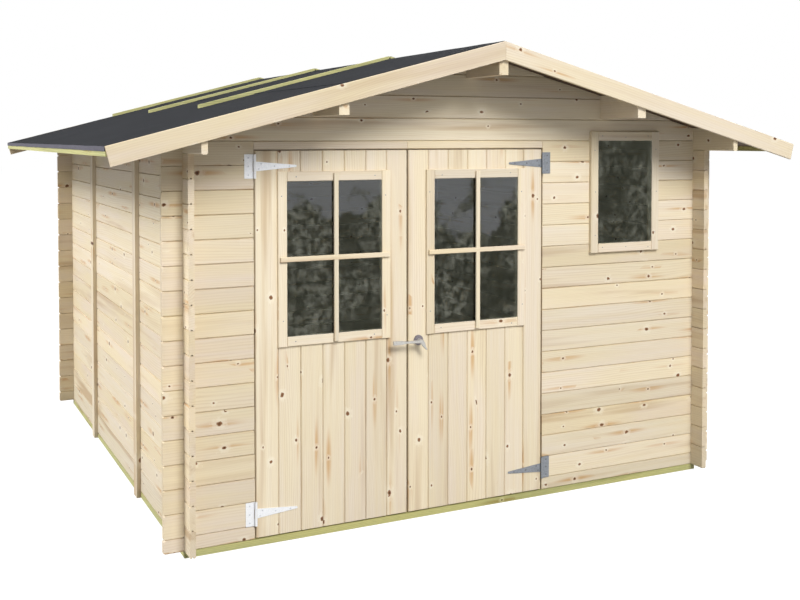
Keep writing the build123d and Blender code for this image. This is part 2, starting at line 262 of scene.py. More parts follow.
def wood(name, coordinates, tones, knots=1.0, ring_depth=1.0, end_grain=False):
    """Softwood with growth rings, fibres, knots and a tone of its own for each board."""
    g = Graph(name)
    colour = {key: srgb(*tone) for key, tone in tones.items()}
    grain, tone = coordinates(g)
    lucks = g.parts(tone)
    luck_a, luck_b, luck_c = lucks

    # The rings bend round the knots
    knot_u, knot_v, knot_dark, present, near = knot_field(g, grain, knots)
    knot_mask = g.math("MULTIPLY", g.smooth(near, 1.15, 0.8), present)
    knot_core = g.math("MULTIPLY", g.smooth(near, 0.75, 0.3), present)
    swirl = g.math("MULTIPLY", g.smooth(near, 4.5, 0.8), present)
    late = latewood(g, grain, lucks, swirl)

    # Clouds, streaks and stains of clear wood, then the latewood and the fibres
    fibre = g.streaks(grain, along=5.0, across=420.0, detail=4.0, roughness=0.65)
    streak = g.streaks(grain, along=0.8, across=38.0, detail=3.0, roughness=0.6)
    cloud = g.streaks(grain, along=1.3, across=6.0)
    stain = g.streaks(grain, along=0.7, across=14.0, detail=3.0)
    tint = g.mix(g.smooth(cloud, 0.36, 0.66), colour["warm"], colour["blush"])
    tint = g.mix(g.math("MULTIPLY_ADD", luck_a, PALE_SPREAD, PALE_LEAST), tint, colour["pale"])
    tint = g.mix(g.smooth(streak, 0.35, 0.75, 0.0, STREAK_SHARE), tint, colour["warm"])
    stained = g.math("MULTIPLY", g.smooth(stain, 0.52, 0.72), g.math("MULTIPLY", luck_c, STAIN_SHARE))
    tint = g.mix(stained, tint, colour["dark"])
    tint = g.mix(g.math("MULTIPLY", late, LATEWOOD_SHARE * ring_depth), tint, colour["dark"])
    tint = g.mix(g.smooth(fibre, 0.45, 0.8, 0.0, FIBRE_SHARE), tint, colour["dark"])

    # Resin that runs along the grain from some knots, a clear ring round each, and the knot itself
    run = g.vector("LENGTH", g.join(g.math("MULTIPLY", knot_u, RESIN_ALONG), knot_v, 0.0))
    bleed = g.math("MULTIPLY", g.smooth(run, *RESIN_REACH), g.smooth(streak, 0.4, 0.62))
    bleeds = g.math("MULTIPLY", g.math("GREATER_THAN", knot_dark, RESIN_FROM), present)
    resin = g.math("MULTIPLY", g.math("MULTIPLY", bleed, bleeds), RESIN_SHARE)
    tint = g.mix(resin, tint, colour["resin"])
    halo = g.math("MULTIPLY", g.smooth(near, 3.8, 1.2, 0.0, HALO_SHARE), present)
    tint = g.mix(halo, tint, colour["clear"])
    core = g.math("MULTIPLY", knot_core, g.math("MULTIPLY_ADD", knot_dark, CORE_SPREAD, CORE_LEAST))
    tint = g.mix(knot_mask, tint, g.mix(core, colour["knot"], srgb(*KNOT_CORE)))

    level = g.math("MULTIPLY_ADD", luck_b, LEVEL_SPREAD, LEVEL_LEAST)
    tint = g.mix(1.0, tint, g.join(level, level, level), "MULTIPLY")
    if end_grain:
        tint = g.mix(END_SHARE, tint, colour["dark"])

    height = g.math("ADD", g.math("MULTIPLY", fibre, 0.5), g.math("MULTIPLY", late, -0.6))
    height = g.math("ADD", height, g.math("MULTIPLY", knot_mask, 0.8))
    bump = g.node("Bump", {"Strength": 0.25, "Distance": 0.0008, "Height": height})
    return g.finish(g.node("BsdfPrincipled", {
        "Base Color": tint,
        "Roughness": g.math("MULTIPLY_ADD", fibre, 0.25, 0.5),
        "Normal": bump,
        "Specular IOR Level": 0.25,
    }))


# Wood round the knots, pale, warm and blush wood, latewood, resin streaks and knots
SPRUCE = dict(
    clear=(247, 238, 217), pale=(242, 232, 211), warm=(234, 217, 180), blush=(231, 214, 194),
    dark=(192, 162, 122), resin=(204, 156, 98), knot=(146, 104, 70),
)
TREATED = dict(
    clear=(220, 218, 168), pale=(214, 212, 158), warm=(202, 196, 128), blush=(188, 186, 126),
    dark=(112, 116, 58), resin=(150, 128, 64), knot=(104, 88, 46),
)
# Roof boards in a dark brown that paints the deep shade under the roof into their colour
DECK_PAINTED_SHADE = dict(
    clear=(104, 82, 60), pale=(96, 76, 56), warm=(88, 68, 48), blush=(84, 66, 52),
    dark=(58, 43, 30), resin=(70, 48, 28), knot=(44, 30, 20),
)
spruce = wood("spruce", board_grain, SPRUCE)
shade_painted_deck_wood = wood("dark_deck_boards", board_grain, DECK_PAINTED_SHADE, knots=0.6)
spruce_end = wood("spruce_end_grain", board_grain, SPRUCE, knots=0.0, ring_depth=1.3, end_grain=True)
spruce_along = {axis: wood(f"spruce_{axis.lower()}", axis_grain(axis), SPRUCE, knots=0.8) for axis in "XYZ"}
treated = wood("treated", board_grain, TREATED, knots=0.4, ring_depth=1.6)
treated_end = wood("treated_end_grain", board_grain, TREATED, knots=0.0, end_grain=True)
treated_along = {
    axis: wood(f"treated_{axis.lower()}", axis_grain(axis), TREATED, knots=0.4, ring_depth=1.6)
    for axis in "XY"
}


def felt_material(name, low, high):
    """Bitumen felt with a mineral face of fine granules."""
    g = Graph(name)
    place = g.place()
    grains = g.node("TexVoronoi", {"Vector": place, "Scale": 420.0}, feature="F1")
    speck = g.parts(grains.outputs["Color"])[0]
    patch = g.noise(place, 3.0, 4.0)
    tint = g.mix(speck, low, high)
    tint = g.mix(g.smooth(patch, 0.3, 0.7, 0.0, 0.4), tint, low)
    bump = g.node("Bump", {"Strength": 0.5, "Distance": 0.0008, "Height": grains.outputs["Distance"]})
    return g.finish(g.node("BsdfPrincipled", {
        "Base Color": tint,
        "Normal": bump,
        "Roughness": 0.9,
        "Specular IOR Level": 0.08,
    }))


def metal_material(name, pale, dark, roughness, metallic):
    """Zinc coated or satin metal with a faint crystal pattern."""
    g = Graph(name)
    place = g.place()
    crystals = g.node("TexVoronoi", {"Vector": place, "Scale": 260.0}, feature="F1")
    shade = g.parts(crystals.outputs["Color"])[0]
    smear = g.noise(place, 40.0, 4.0)
    tint = g.mix(g.math("MULTIPLY_ADD", shade, 0.5, g.math("MULTIPLY", smear, 0.4)), pale, dark)
    return g.finish(g.node("BsdfPrincipled", {
        "Base Color": tint,
        "Roughness": g.math("MULTIPLY_ADD", smear, 0.2, roughness),
        "Metallic": metallic,
    }))


def glass_material():
    """Clear panes with a faint ripple."""
    g = Graph("pane")
    ripple = g.noise(g.place(), 6.0, 1.0)
    bump = g.node("Bump", {"Strength": 0.02, "Distance": 0.002, "Height": ripple})
    return g.finish(g.node("BsdfPrincipled", {
        "Normal": bump,
        "Base Color": srgb(214, 220, 215),
        "Roughness": 0.01,
        "IOR": 1.62,
        "Transmission Weight": 1.0,
    }))


felt = felt_material("roof_felt", srgb(20, 21, 24), srgb(44, 46, 50))
felt_edge = felt_material("felt_edge", srgb(92, 91, 99), srgb(122, 120, 130))
zinc = metal_material("zinc_steel", srgb(240, 241, 243), srgb(218, 220, 224), 0.45, 0.3)
dull_zinc = metal_material("dull_zinc_steel", srgb(150, 154, 160), srgb(116, 120, 126), 0.42, 0.7)
satin = metal_material("satin_metal", srgb(206, 204, 200), srgb(172, 170, 168), 0.3, 0.6)
dark_satin = metal_material("dark_satin_metal", srgb(148, 142, 148), srgb(116, 110, 116), 0.34, 0.6)
pale_screw = metal_material("zinc_screws", srgb(214, 216, 220), srgb(186, 188, 194), 0.4, 0.4)
screw_steel = metal_material("screw_steel", srgb(120, 122, 126), srgb(84, 86, 90), 0.4, 0.7)
pane = glass_material()


def place_piece(mesh, body, replaced=()):
    """Turn a closed mesh's faces outwards and put it on its body."""
    work = bmesh.new()
    work.from_mesh(mesh)
    bmesh.ops.recalc_face_normals(work, faces=work.faces)
    work.to_mesh(mesh)
    work.free()
    piece = bpy.data.objects.new(mesh.name, mesh)
    bpy.context.scene.collection.objects.link(piece)
    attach(piece, body)
    if replaced:
        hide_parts(*replaced)


class Boards:
    """One mesh of many boards, each with its own grain and tone."""

    def __init__(self, origin, along, across, outward, fairness=(0.0, 1.0)):
        self.origin = Vector(origin)
        self.axes = [Vector(axis) for axis in (along, across, outward)]
        self.fairness = fairness
        self.points = []
        self.faces = []
        self.slots = []
        self.grain = []
        self.tone = []

    def draw_board(self):
        """A place in the grain and a tone for the next board."""
        spreads = (GRAIN_SPREAD, GRAIN_SPREAD, GRAIN_DEPTH)
        shift = Vector([draw.uniform(0, spread) for spread in spreads])
        tone = [draw.uniform(*self.fairness) for _ in range(3)]
        return shift, tone

    def point(self, local, grain, tone):
        self.points.append(self.origin + sum((a * c for a, c in zip(self.axes, local)), Vector()))
        self.grain.append(grain)
        self.tone.append(tone)

    def close(self, first, rings, count, cap_slot, side_slot):
        """Faces of a board: its two caps, and its sides from ring to ring."""
        last = first + (rings - 1) * count
        self.faces.append([first + i for i in range(count)])
        self.faces.append([last + i for i in reversed(range(count))])
        self.slots += [cap_slot, cap_slot]
        for ring in range(rings - 1):
            a, b = first + ring * count, first + (ring + 1) * count
            for i in range(count):
                j = (i + 1) % count
                self.faces.append([a + j, a + i, b + i, b + j])
                self.slots.append(side_slot(ring, i, j))

    def add(self, outline, edges, thickness, chamfer=(GROOVE_HALF, GROOVE_DEPTH), lift=0.0):
        """One board. The outline is (along, across) points and edges its two long seams."""
        low, high = edges
        ends = (min(u for u, v in outline), max(u for u, v in outline))
        width, depth = chamfer
        shift, tone = self.draw_board()
        first = len(self.points)

        # Rings from the outer face to the inner one: inset at the seams, end bevel, and depth
        rings = (
            (width, END_BEVEL, 0),
            (SEAM_SLIT, 0.0, -depth),
            (SEAM_GAP, 0.0, -thickness / 2),
            (SEAM_SLIT, 0.0, depth - thickness),
            (width, END_BEVEL, -thickness),
        )
        for inset, bevel, w in rings:
            for u, v in outline:
                if math.isclose(v, low):
                    v += inset
                elif math.isclose(v, high):
                    v -= inset
                u += bevel if math.isclose(u, ends[0]) else 0.0
                u -= bevel if math.isclose(u, ends[1]) else 0.0
                self.point((u, v, w + lift), (u + shift.x, v - low + shift.y, w + shift.z), tone)

        def side_slot(ring, i, j):
            """End grain on the middle rings of edges that cross the board."""
            (u0, v0), (u1, v1) = outline[i], outline[j]
            return 1 if abs(u1 - u0) < abs(v1 - v0) * END_SLANT and ring in END_RINGS else 0

        self.close(first, len(rings), len(outline), 0, side_slot)

    def log(self, start, end, low, high, cuts=(0.0, 0.0), lift=0.0):
        """A whole log board with a groove along its foot, and each end's corners cut or square."""
        shift, tone = self.draw_board()
        near = WALL_THICKNESS / 2 - TONGUE / 2
        far = WALL_THICKNESS / 2 + TONGUE / 2
        back = WALL_THICKNESS - GROOVE_DEPTH
        foot, head = low + LOG_FOOT_CUT, high - LOG_HEAD_CUT
        slot = low + SLOT_HEIGHT
        outline = [
            (foot, 0), (low + SEAM_SLIT, GROOVE_DEPTH), (low + SEAM_GAP, near),
            (slot, near), (slot, far),
            (low + SEAM_GAP, far), (low + SEAM_SLIT, back), (foot, WALL_THICKNESS),
            (head, WALL_THICKNESS), (high - SEAM_SLIT, back), (high - SEAM_GAP, far),
            (high - SEAM_GAP, near), (high - SEAM_SLIT, GROOVE_DEPTH), (head, 0),
        ]
        start += draw.uniform(0, END_PLAY)
        end -= draw.uniform(0, END_PLAY)
        rings = [(start, END_CUT), (start + cuts[0], 0.0)] if cuts[0] else [(start, 0.0)]
        rings += [(end - cuts[1], 0.0), (end, END_CUT)] if cuts[1] else [(end, 0.0)]
        first = len(self.points)
        for u, cut in rings:
            for v, depth in outline:
                v = min(max(v, low + cut), high - cut)
                self.point((u, v, lift - depth), (u + shift.x, v - low + shift.y, shift.z - depth), tone)
        self.close(first, len(rings), len(outline), 1, lambda ring, i, j: 0)

    def rectangle(self, start, end, low, high, thickness, **rest):
        self.add([(start, low), (end, low), (end, high), (start, high)], (low, high), thickness, **rest)

    def notched(self, start, end, low, high, hole, thickness, **rest):
        """A board beside a hole: whole, in two lengths, or with a notch on one edge."""
        left, right, bottom, top = hole
        bottom = low if 0 < bottom - low < NARROW_STRIP else bottom
        top = high if 0 < high - top < NARROW_STRIP else top
        if high <= bottom or low >= top or end <= left or start >= right:
            self.rectangle(start, end, low, high, thickness, **rest)
        elif bottom <= low and top >= high:
            self.rectangle(start, left, low, high, thickness, **rest)
            self.rectangle(right, end, low, high, thickness, **rest)
        elif top >= high:
            outline = [(start, low), (end, low), (end, high), (right, high)]
            outline += [(right, bottom), (left, bottom), (left, high), (start, high)]
            self.add(outline, (low, high), thickness, **rest)
        else:
            outline = [(start, low), (left, low), (left, top), (right, top)]
            outline += [(right, low), (end, low), (end, high), (start, high)]
            self.add(outline, (low, high), thickness, **rest)

    def take(self, extra):
        """Move another set of boards into this one's mesh."""
        first = len(self.points)
        self.points += extra.points
        self.faces += [[first + i for i in face] for face in extra.faces]
        self.slots += extra.slots
        self.grain += extra.grain
        self.tone += extra.tone

    def build(self, name, body, slot, replaced=(), materials=(spruce, spruce_end)):
        mesh = bpy.data.meshes.new(name)
        mesh.from_pydata(self.points, [], self.faces)
        for material in materials:
            mesh.materials.append(material)
        mesh.polygons.foreach_set("material_index", self.slots)
        for label, values in (("grain", self.grain), ("tone", self.tone)):
            layer = mesh.attributes.new(label, "FLOAT_VECTOR", "POINT")
            layer.data.foreach_set("vector", [number for value in values for number in value])
        mesh.validate()
        place_piece(mesh, body, replaced)


def courses(bottom, first, top):
    """Edges of the boards stacked from bottom to top, the lowest one cut to the first height."""
    edges = [bottom, bottom + first]
    while edges[-1] + COURSE < top + GROOVE_DEPTH:
        edges.append(edges[-1] + COURSE)
    return list(zip(edges, edges[1:]))


def even_boards(low, high, count):
    """Edges of a count of equal boards side by side."""
    width = (high - low) / count
    starts = [low + i * width for i in range(count)]
    return [(start, start + width) for start in starts]


# Places of the walls, from the frame
wall_low, wall_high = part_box("left_wall")
front_low, front_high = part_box("front_wall_left")
right_low, right_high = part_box("front_wall_right")
left_face = wall_low.x
right_face = -left_face
front_face = front_low.y
back_face = -front_face
wall_end = right_high.x
base = front_low.z
gable_base = front_high.z
plate_base = wall_high.z
ridge_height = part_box("ridge_purlin")[1].z
plate_top = ridge_height - right_face * SLOPE

# Casings cover the edge of their hole by this much
CASING_COVER = 0.020


def roof_reach(z):
    """Half width under the roof boards at a height."""
    return right_face + (plate_top - z) / SLOPE


def slope_axes(side):
    """Unit vectors down one slope of the roof and square out of it."""
    down = Vector((side * math.cos(ROOF_PITCH), 0, -math.sin(ROOF_PITCH)))
    out = Vector((side * math.sin(ROOF_PITCH), 0, math.cos(ROOF_PITCH)))
    return down, out


def window_hole(node):
    """Left, right, bottom and top of the hole behind a casing."""
    low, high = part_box(node)
    return low.x + CASING_COVER, high.x - CASING_COVER, low.z + CASING_COVER, high.z - CASING_COVER


# Front and back walls with their gables
OUT_FRONT = dict(origin=(0, front_face, 0), along=(1, 0, 0), across=(0, 0, 1), outward=(0, -1, 0))
OUT_BACK = dict(origin=(0, back_face, 0), along=(1, 0, 0), across=(0, 0, 1), outward=(0, 1, 0))
front_hole = window_hole("window_frame")
no_hole = (0, 0, 0, 0)


def log_wall(name, node, facing, ends, cuts, fairness, hole=no_hole):
    """A wall of whole logs, with plain boards from the foot of its window up."""
    wall = Boards(**facing, fairness=fairness)
    for low, high in courses(base, FRONT_FIRST, gable_base):
        lift = draw.uniform(-DEPTH_PLAY, DEPTH_PLAY)
        if hole is no_hole or high <= hole[2]:
            wall.log(*ends, low, high, cuts, lift)
        else:
            wall.notched(*ends, low, high, hole, WALL_THICKNESS, lift=lift)
    wall.build(name, "shed", "spruce", [node])


def gable(name, node, facing, hole):
    """Boards cut to the slope of the roof."""
    wall = Boards(**facing)
    ridge = plate_top + right_face * SLOPE
    break_height = plate_top - (wall_end - right_face) * SLOPE
    left, right, hole_bottom, hole_top = hole
    low = gable_base
    while low < ridge - GROOVE_HALF:
        high = low + COURSE
        bottom_reach = min(wall_end, roof_reach(low))
        outline = [(-bottom_reach, low)]
        if hole_top > low > hole_bottom:
            outline += [(left, low), (left, hole_top), (right, hole_top), (right, low)]
        outline.append((bottom_reach, low))
        upper = []
        if low < break_height < high:
            upper.append((wall_end, break_height))
        peak = [(0.0, ridge)]
        if high < ridge:
            upper.append((roof_reach(high), high))
            peak = []
        outline += upper + peak + [(-x, z) for x, z in reversed(upper)]
        wall.add(outline, (low, high), WALL_THICKNESS, lift=draw.uniform(-DEPTH_PLAY, DEPTH_PLAY))
        low = high
    wall.build(name, "shed", "spruce", [node])


# The left front boards take the darker half of the tones: partly their own browner wood, partly painted
# shade for the light that falls off towards that end of the wall
log_wall("front_boards_left", "front_wall_left", OUT_FRONT, (front_low.x, front_high.x),
         cuts=(CORNER_CUT, 0.0), fairness=(0.0, 0.5))
log_wall("front_boards_right", "front_wall_right", OUT_FRONT, (right_low.x, wall_end),
         cuts=(0.0, CORNER_CUT), fairness=(0.0, 0.9), hole=front_hole)
log_wall("back_boards", "back_wall", OUT_BACK, (-wall_end, wall_end),
         cuts=(CORNER_CUT, CORNER_CUT), fairness=(0.0, 0.9))
gable("front_gable_boards", "front_gable", OUT_FRONT, front_hole)
gable("back_gable_boards", "back_gable", OUT_BACK, no_hole)

# The narrow boards over the door meet over the middle of the doorway
header_low, header_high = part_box("door_header")
door_middle = (header_low.x + header_high.x) / 2
header = Boards(**OUT_FRONT)
for start, end in ((header_low.x, door_middle), (door_middle, header_high.x)):
    header.rectangle(start, end, header_low.z, header_high.z, WALL_THICKNESS)
header.build("header_boards", "shed", "spruce", ["door_header"])

# Side walls
for side_name, face, outward in (("left", left_face, -1), ("right", right_face, 1)):
    wall = Boards((face, 0, 0), (0, 1, 0), (0, 0, 1), (outward, 0, 0))
    for low, high in courses(base, SIDE_FIRST, plate_base):
        wall.log(wall_low.y, wall_high.y, low, high, lift=draw.uniform(-DEPTH_PLAY, DEPTH_PLAY))
    wall.build(f"{side_name}_boards", "shed", "spruce", [f"{side_name}_wall"])

# Door leaves of upright boards, casings round the lights and their bars
LEAF_BOARDS = 7
LEAF_PLAY = 0.0006
LEAF_FAIRNESS = (0.4, 1.0)
BAR_WIDTH = 0.025
BAR_THICKNESS = 0.012
BAR_LAP = 0.037
BAR_STEP = 0.0008
RAIL_SETBACK = 0.0006
CASING_CHAMFER = (0.003, 0.003)


def upright_boards(face, fairness=(0.0, 1.0)):
    """Boards that stand upright and look towards the front."""
    return Boards((0, face, 0), (0, 0, 1), (1, 0, 0), (0, -1, 0), fairness)


def level_boards(face):
    """Boards that lie level and look towards the front."""
    return Boards((0, face, 0), (1, 0, 0), (0, 0, 1), (0, -1, 0))


def casing(name, node, glass_node, body):
    """Two stiles and two rails round a pane, through the whole thickness of the wall."""
    low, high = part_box(node)
    glass_low, glass_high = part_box(glass_node)
    depth = high.y - low.y
    stiles = upright_boards(low.y)
    for start, end in ((low.x, glass_low.x), (glass_high.x, high.x)):
        stiles.rectangle(low.z, high.z, start, end, depth, chamfer=CASING_CHAMFER)
    rails = level_boards(low.y)
    for start, end in ((low.z, glass_low.z), (glass_high.z, high.z)):
        rails.rectangle(glass_low.x, glass_high.x, start, end, depth,
                        chamfer=CASING_CHAMFER, lift=-RAIL_SETBACK)
    stiles.take(rails)
    stiles.build(name, body, "spruce", [node])


def light_bars(name, frame_node, glass_node, body):
    """The cross of bars that lies over a light's casing."""
    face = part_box(frame_node)[0].y
    glass_low, glass_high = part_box(glass_node)
    middle_x = (glass_low.x + glass_high.x) / 2
    middle_z = (glass_low.z + glass_high.z) / 2
    half = BAR_WIDTH / 2
    upright = upright_boards(face)
    upright.rectangle(glass_low.z - BAR_LAP, glass_high.z + BAR_LAP, middle_x - half, middle_x + half,
                      BAR_THICKNESS, chamfer=CASING_CHAMFER, lift=BAR_THICKNESS)
    level = level_boards(face)
    level.rectangle(glass_low.x - BAR_LAP, glass_high.x + BAR_LAP, middle_z - half, middle_z + half,
                    BAR_THICKNESS, chamfer=CASING_CHAMFER, lift=BAR_THICKNESS + BAR_STEP)
    upright.take(level)
    upright.build(name, body, "spruce")


for side_name in ("left", "right"):
    body = f"{side_name}_door"
    panel, frame_node, glass_node = f"{body}_panel", f"{body}_window_frame", f"{body}_glass"
    low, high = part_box(panel)
    left, right, bottom, top = window_hole(frame_node)
    leaf = upright_boards(low.y, LEAF_FAIRNESS)
    for start, end in even_boards(low.x, high.x, LEAF_BOARDS):
        leaf.notched(low.z, high.z, start, end, (bottom, top, left, right), high.y - low.y,
                     lift=draw.uniform(-LEAF_PLAY, LEAF_PLAY))
    leaf.build(f"{side_name}_leaf_boards", body, "spruce", [panel])
    casing(f"{side_name}_light_casing", frame_node, glass_node, body)
    light_bars(f"{side_name}_light_bars", frame_node, glass_node, body)
casing("window_casing", "window_frame", "window_glass", "shed")

# Roof boards that run down each slope, and floor boards
DECK_BOARD = 0.094
DECK_THICKNESS = 0.019
DECK_RIDGE_GAP = 0.006
DECK_CHAMFER = (0.003, 0.003)
FLOOR_BOARD = 0.112
FLOOR_CHAMFER = (0.0015, 0.0015)
SIDES = (("left", -1), ("right", 1))
for side_name, side in SIDES:
    node = f"roof_deck_{side_name}"
    low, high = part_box(node)
    down, out = slope_axes(side)
    length = (high.x - low.x) / math.cos(ROOF_PITCH)
    deck = Boards((0, 0, high.z), down, (0, 1, 0), out)
    for start, end in even_boards(low.y, high.y, round((high.y - low.y) / DECK_BOARD)):
        deck.rectangle(DECK_RIDGE_GAP, length, start, end, DECK_THICKNESS, chamfer=DECK_CHAMFER)
    # The roof boards take the dark wood with painted shade
    deck.build(f"roof_boards_{side_name}", "shed", "spruce", [node], (shade_painted_deck_wood, shade_painted_deck_wood))

low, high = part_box("floor")
floor_boards = Boards((0, 0, high.z), (1, 0, 0), (0, 1, 0), (0, 0, 1))
for start, end in even_boards(low.y, high.y, round((high.y - low.y) / FLOOR_BOARD)):
    floor_boards.rectangle(low.x, high.x, start, end, high.z - low.z, chamfer=FLOOR_CHAMFER)
floor_boards.build("floor_boards", "shed", "spruce", ["floor"])

# Bargeboards, mitred at the ridge
BARGE_HEIGHT = 0.088
BARGE_CHAMFER = (0.002, 0.002)
BARGE_FAIRNESS = (0.0, 0.6)
for end_name, outward in (("front", -1), ("back", 1)):
    for side_name, side in SIDES:
        node = f"{end_name}_bargeboard_{side_name}"
        low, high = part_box(node)
        down, up = slope_axes(side)
        face = low.y if outward < 0 else high.y
        board = Boards((0, face, high.z), down, up, (0, outward, 0), BARGE_FAIRNESS)
        foot = (high.x - low.x) / math.cos(ROOF_PITCH)
        mitre = BARGE_HEIGHT * math.tan(ROOF_PITCH)
        outline = [(mitre, -BARGE_HEIGHT), (foot, -BARGE_HEIGHT), (foot, 0), (0, 0)]
        board.add(outline, (-BARGE_HEIGHT, 0), high.y - low.y, chamfer=BARGE_CHAMFER)
        board.build(f"{end_name}_barge_{side_name}", "shed", "spruce", [node])

# Eave strips in three lengths
EAVE_JOINTS = (-0.74, 0.40)
EAVE_THICKNESS = 0.018
EAVE_HEAD_GAP = 0.004
EAVE_CHAMFER = (0.001, 0.001)
low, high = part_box("eave_strips")
stops = (low.y, *EAVE_JOINTS, high.y)
for side_name, side in SIDES:
    face = low.x if side < 0 else high.x
    strip = Boards((face, 0, 0), (0, 1, 0), (0, 0, 1), (side, 0, 0))
    for start, end in zip(stops, stops[1:]):
        strip.rectangle(start, end, low.z, high.z - EAVE_HEAD_GAP, EAVE_THICKNESS, chamfer=EAVE_CHAMFER)
    replaced = ["eave_strips"] if side < 0 else []
    strip.build(f"eave_boards_{side_name}", "shed", "treated_timber", replaced, (treated, treated_end))

# Felt in two sheets to a slope, the upper lapped over the lower
FELT_STATIONS = 38
FELT_STEPS = 12
FELT_THICKNESS = 0.003
FELT_LAP = 0.86
LAP_EDGE = 0.001
LAP_RISE = 0.0022
FELT_WAVE = 0.0007
LIP_HEIGHT = 0.020
LIP_WAVE = 0.001


def felt_sheet(side_name, side):
    """The felt of one slope, with its edge turned down over the eave."""
    node = f"roof_felt_{side_name}"
    low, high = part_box(node)
    length = (high.x - low.x) / math.cos(ROOF_PITCH)
    down, out = slope_axes(side)
    steps = [i / FELT_STEPS * length for i in range(FELT_STEPS + 1)]
    marks = sorted(steps + [FELT_LAP, FELT_LAP + LAP_EDGE])
    points, faces, slots = [], [], []
    for station in range(FELT_STATIONS + 1):
        ridge = Vector((0, 0, high.z)) + Vector((0, low.y + (high.y - low.y) * station / FELT_STATIONS, 0))
        for u in marks:
            rise = LAP_RISE if u <= FELT_LAP else 0.0
            points.append(ridge + down * u + out * (rise + draw.uniform(-FELT_WAVE, FELT_WAVE)))
        lip = points[-1] + Vector((0, 0, -LIP_HEIGHT)) + Vector((0, 0, draw.uniform(-LIP_WAVE, LIP_WAVE)))
        points += [lip, lip + Vector((-side * FELT_THICKNESS, 0, 0))]
        points.append(ridge + down * (length - FELT_THICKNESS) - out * FELT_THICKNESS)
        points.append(ridge - out * FELT_THICKNESS)
    count = len(points) // (FELT_STATIONS + 1)
    lip_first = len(marks) - 1
    for station in range(FELT_STATIONS):
        a, b = station * count, (station + 1) * count
        for i in range(count):
            j = (i + 1) % count
            faces.append([a + i, a + j, b + j, b + i])
            slots.append(1 if lip_first <= i <= lip_first + 1 else 0)
    faces.append(list(range(count)))
    faces.append([FELT_STATIONS * count + i for i in range(count)])
    slots += [0, 0]
    mesh = bpy.data.meshes.new(f"felt_sheets_{side_name}")
    mesh.from_pydata(points, [], faces)
    mesh.materials.append(felt)
    mesh.materials.append(felt_edge)
    mesh.polygons.foreach_set("material_index", slots)
    place_piece(mesh, "shed", [node])


for side_name, side in SIDES:
    felt_sheet(side_name, side)

# Screws and nails, domed heads let into the surface: rings as shares of the radius and of the height
STUD_SIDES = 10
STUD_RINGS = ((1.0, -1.0), (1.0, 0.25), (0.72, 0.8))


def studs(name, body, material, places, radius, height):
    """Small domed heads on faces that look towards the front."""
    points, faces = [], []
    for x, y, z in places:
        first = len(points)
        for share, rise in STUD_RINGS:
            reach = radius * share
            for i in range(STUD_SIDES):
                angle = 2 * math.pi * i / STUD_SIDES
                points.append((x + reach * math.cos(angle), y - height * rise, z + reach * math.sin(angle)))
        points.append((x, y - height, z))
        top = len(points) - 1
        for i in range(STUD_SIDES):
            j = (i + 1) % STUD_SIDES
            for ring in (0, 1):
                a, b = first + ring * STUD_SIDES, first + (ring + 1) * STUD_SIDES
                faces.append([a + i, a + j, b + j, b + i])
            faces.append([first + 2 * STUD_SIDES + i, first + 2 * STUD_SIDES + j, top])
        faces.append([first + i for i in reversed(range(STUD_SIDES))])
    mesh = bpy.data.meshes.new(name)
    mesh.from_pydata(points, [], faces)
    mesh.materials.append(material)
    place_piece(mesh, body)


# Radius and height of each head, and the screws' places on the hinges: along from the edge, and up
SCREW = (0.0042, 0.0012)
NAIL = (0.0026, 0.0007)
HINGE_METAL = 0.003
PLATE_HALF_HEIGHT = 0.056
PLATE_SCREW_INSET = 0.019
PLATE_SCREW_RISES = (-0.040, 0.0, 0.040)
STRAP_SCREWS = ((0.028, -0.012), (0.040, 0.012), (0.105, 0.0), (0.178, 0.0))
NAIL_SHARES = (0.12, 0.5, 0.88)
NAIL_PLAY = 0.006
hinge_face = front_face - HINGE_METAL
for side_name, inward, steel in (("left", 1, pale_screw), ("right", -1, screw_steel)):
    low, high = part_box(f"{side_name}_hinge_plates")
    heights = (low.z + PLATE_HALF_HEIGHT, high.z - PLATE_HALF_HEIGHT)
    middle = (low.x if inward > 0 else high.x) + inward * PLATE_SCREW_INSET
    spots = [(middle, hinge_face, z + rise) for z in heights for rise in PLATE_SCREW_RISES]
    studs(f"{side_name}_plate_screws", "shed", steel, spots, *SCREW)
    low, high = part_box(f"{side_name}_hinge_straps")
    root = low.x if inward > 0 else high.x
    spots = [(root + inward * along, hinge_face, z + rise) for z in heights for along, rise in STRAP_SCREWS]
    studs(f"{side_name}_strap_screws", f"{side_name}_door", steel, spots, *SCREW)


def casing_nails(name, node, glass_node, body):
    """Three nails along each stile and rail of a casing, a little out of line."""
    low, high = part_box(node)
    glass_low, glass_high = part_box(glass_node)
    left, right = (low.x + glass_low.x) / 2, (high.x + glass_high.x) / 2
    bottom, top = (low.z + glass_low.z) / 2, (high.z + glass_high.z) / 2
    spots = []
    for share in NAIL_SHARES:
        z = bottom + (top - bottom) * share
        x = left + (right - left) * share
        spots += [(left, z), (right, z), (x, bottom), (x, top)]
    play = (-NAIL_PLAY, NAIL_PLAY)
    spots = [(x + draw.uniform(*play), low.y, z + draw.uniform(*play)) for x, z in spots]
    studs(name, body, dull_zinc, spots, *NAIL)


casing_nails("window_nails", "window_frame", "window_glass", "shed")
for side_name in ("left", "right"):
    body = f"{side_name}_door"
    casing_nails(f"{side_name}_light_nails", f"{body}_window_frame", f"{body}_glass", body)


def dress(material, *names):
    """Give CAD nodes that stay as they are their material."""
    for name in names:
        nodes[name].data.materials.clear()
        nodes[name].data.materials.append(material)


dress(spruce_along["Y"], "wall_plates", "ridge_purlin", "side_purlins")
dress(spruce_along["Z"], "wall_battens", "door_posts")
dress(spruce_along["X"], "door_head", "left_door_ledges", "right_door_ledges")
dress(treated_along["Y"], "side_bearers")
dress(treated_along["X"], "cross_bearers", "felt_battens")
dress(zinc, "left_hinge_plates", "left_hinge_straps")
dress(dull_zinc, "right_hinge_plates", "right_hinge_straps")
dress(satin, "door_handle")
dress(dark_satin, "handle_rosette")
dress(pane, "window_glass", "left_door_glass", "right_door_glass")

